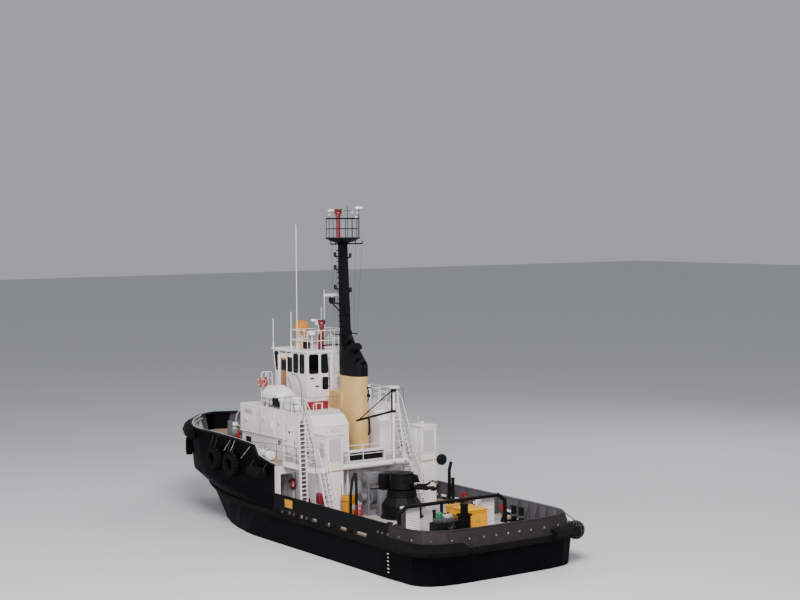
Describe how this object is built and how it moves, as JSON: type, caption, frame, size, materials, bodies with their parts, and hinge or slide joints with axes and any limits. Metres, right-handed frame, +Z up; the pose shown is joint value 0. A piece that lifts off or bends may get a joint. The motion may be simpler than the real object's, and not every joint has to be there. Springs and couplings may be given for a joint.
{
  "type": "harbour tugboat",
  "caption": "Harbour tugboat with a decked hull, fenders, wheelhouse, funnel and mast, tow gear, and two steerable thrusters with turning propellers.",
  "frame": {"origin": "amidships on the centreline, on the waterline", "axes": "+X forward to the bow, +Y to port, +Z up"},
  "size_m": [33.9762, 11.951, 24.46],
  "materials": {
    "hull_black": "satin, weathered",
    "stern_grey": "matt, weathered",
    "rubber": "matt, scuffed",
    "tyre": "worn",
    "white": "satin",
    "buff": "satin",
    "black": "satin",
    "grey": "satin",
    "red": "gloss",
    "orange": "satin",
    "yellow": "matt",
    "white_plastic": "gloss",
    "door": "varnished",
    "glass": "clear",
    "bronze": "dull"
  },
  "bodies": {
    "boat": {"hull": "hull_black", "forecastle": "hull_black", "main_bulwark": "stern_grey", "bow_bulwark": "hull_black", "stern_fender": "rubber", "rubbing_strake": "rubber", "bow_fender": "rubber", "tyre_fenders_port": "tyre", "tyre_fenders_starboard": "tyre", "main_deckhouse": "white", "vent_tower_port": "white", "vent_tower_starboard": "white", "boat_deck": "white", "upper_deckhouse": "white", "funnel_casing": "buff", "funnel_cap": "black", "mast": "black", "wheelhouse_shell": "white", "wheelhouse_roof": "white", "wheelhouse_glass": "glass", "wheelhouse_console": "black", "roof_railing": "white", "ladder_port": "white", "ladder_starboard": "white", "upper_ladder_port": "white", "upper_ladder_starboard": "white", "gangway": "white", "roof_monitor_riser": "red", "mast_monitor_riser": "red", "rescue_boat": "white_plastic", "life_raft": "white_plastic", "bin": "yellow", "tow_winch_frame": "grey", "hook_pedestal": "black", "towing_arch": "black", "deck_vent_port": "white", "deck_vent_starboard": "white", "power_pack": "orange", "bitts_port": "black", "bitts_starboard": "black", "square_bitt": "black", "gooseneck_port": "black", "gooseneck_starboard": "black", "bow_winch_frame": "grey", "derrick_post": "white"},
    "thruster_port_body": {"thruster_port": "bronze"},
    "thruster_starboard_body": {"thruster_starboard": "bronze"},
    "propeller_port_body": {"propeller_port": "bronze"},
    "propeller_starboard_body": {"propeller_starboard": "bronze"},
    "door_port_body": {"wheelhouse_door_port": "door"},
    "door_starboard_body": {"wheelhouse_door_starboard": "door"},
    "radar_body": {"radar_scanner": "white_plastic"},
    "roof_monitor_head_body": {"roof_monitor_head": "red"},
    "roof_monitor_barrel_body": {"roof_monitor_barrel": "red"},
    "mast_monitor_head_body": {"mast_monitor_head": "red"},
    "mast_monitor_barrel_body": {"mast_monitor_barrel": "red"},
    "tow_hook_body": {"tow_hook": "black"},
    "tow_winch_drum_body": {"tow_winch_drum": "grey"},
    "bow_winch_drum_body": {"bow_winch_drum": "grey"},
    "derrick_jib_body": {"derrick_jib": "black"}
  },
  "joints": [
    {"name": "thruster_port_steer", "type": "hinge", "parent": "boat", "child": "thruster_port_body", "pos_m": [-12.9, 2.45, -1.9], "axis": [0, 0, 1], "continuous": true},
    {"name": "thruster_starboard_steer", "type": "hinge", "parent": "boat", "child": "thruster_starboard_body", "pos_m": [-12.9, -2.45, -1.9], "axis": [0, 0, 1], "continuous": true},
    {"name": "propeller_port_spin", "type": "hinge", "parent": "thruster_port_body", "child": "propeller_port_body", "pos_m": [-13.45, 2.45, -3.35], "axis": [1, 0, 0], "continuous": true},
    {"name": "propeller_starboard_spin", "type": "hinge", "parent": "thruster_starboard_body", "child": "propeller_starboard_body", "pos_m": [-13.45, -2.45, -3.35], "axis": [1, 0, 0], "continuous": true},
    {"name": "door_port_hinge", "type": "hinge", "parent": "boat", "child": "door_port_body", "pos_m": [4.26, 1.6257, 9.45], "axis": [0, 0, 1], "range_deg": [0, 95]},
    {"name": "door_starboard_hinge", "type": "hinge", "parent": "boat", "child": "door_starboard_body", "pos_m": [4.26, -1.6257, 9.45], "axis": [0, 0, -1], "range_deg": [0, 95]},
    {"name": "radar_spin", "type": "hinge", "parent": "boat", "child": "radar_body", "pos_m": [0.8, 0, 14.2], "axis": [0, 0, 1], "continuous": true},
    {"name": "roof_monitor_pan", "type": "hinge", "parent": "boat", "child": "roof_monitor_head_body", "pos_m": [1.81, 0.14, 12.75], "axis": [0, 0, 1], "range_deg": [-170, 170]},
    {"name": "roof_monitor_tilt", "type": "hinge", "parent": "roof_monitor_head_body", "child": "roof_monitor_barrel_body", "pos_m": [1.81, 0.14, 12.75], "axis": [0, -1, 0], "range_deg": [-10, 75]},
    {"name": "mast_monitor_pan", "type": "hinge", "parent": "boat", "child": "mast_monitor_head_body", "pos_m": [-0.45, 0.3, 19.6], "axis": [0, 0, 1], "range_deg": [-170, 170]},
    {"name": "mast_monitor_tilt", "type": "hinge", "parent": "mast_monitor_head_body", "child": "mast_monitor_barrel_body", "pos_m": [-0.45, 0.3, 19.6], "axis": [0, -1, 0], "range_deg": [-10, 75]},
    {"name": "tow_hook_swing", "type": "hinge", "parent": "boat", "child": "tow_hook_body", "pos_m": [-6.6, 0, 3.38], "axis": [0, 0, 1], "range_deg": [-108, 51]},
    {"name": "tow_winch_spin", "type": "hinge", "parent": "boat", "child": "tow_winch_drum_body", "pos_m": [-4.82, 0.55, 2.8], "axis": [0, 1, 0], "continuous": true},
    {"name": "bow_winch_spin", "type": "hinge", "parent": "boat", "child": "bow_winch_drum_body", "pos_m": [9.6, 0, 5.2], "axis": [0, 1, 0], "continuous": true},
    {"name": "derrick_slew", "type": "hinge", "parent": "boat", "child": "derrick_jib_body", "pos_m": [-4.21, -1.11, 7.8], "axis": [0, 0, 1], "range_deg": [0, 100]}
  ]
}
